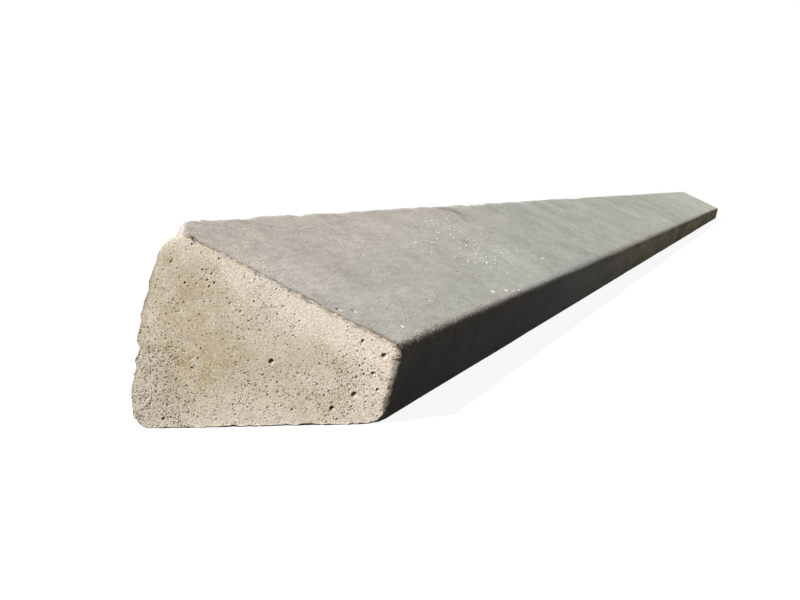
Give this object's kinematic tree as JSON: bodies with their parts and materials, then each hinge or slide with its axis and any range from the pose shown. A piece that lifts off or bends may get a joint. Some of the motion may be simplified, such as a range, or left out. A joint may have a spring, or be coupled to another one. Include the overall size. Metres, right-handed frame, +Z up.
{
  "type": "concrete fence post",
  "caption": "Straight cast concrete post of tapered section, lying on one side; set in the ground to carry fence wire or mesh.",
  "frame": {"origin": "on the floor, below the middle of the post's box", "axes": "+Y along the post from its near end to its far end, +Z up, +X from the wide struck face towards the narrow face"},
  "size_m": [0.0876, 2.8, 0.0623],
  "materials": {
    "concrete": "matte, as cast"
  },
  "bodies": {
    "root": {"fence_post": "concrete"}
  },
  "joints": []
}
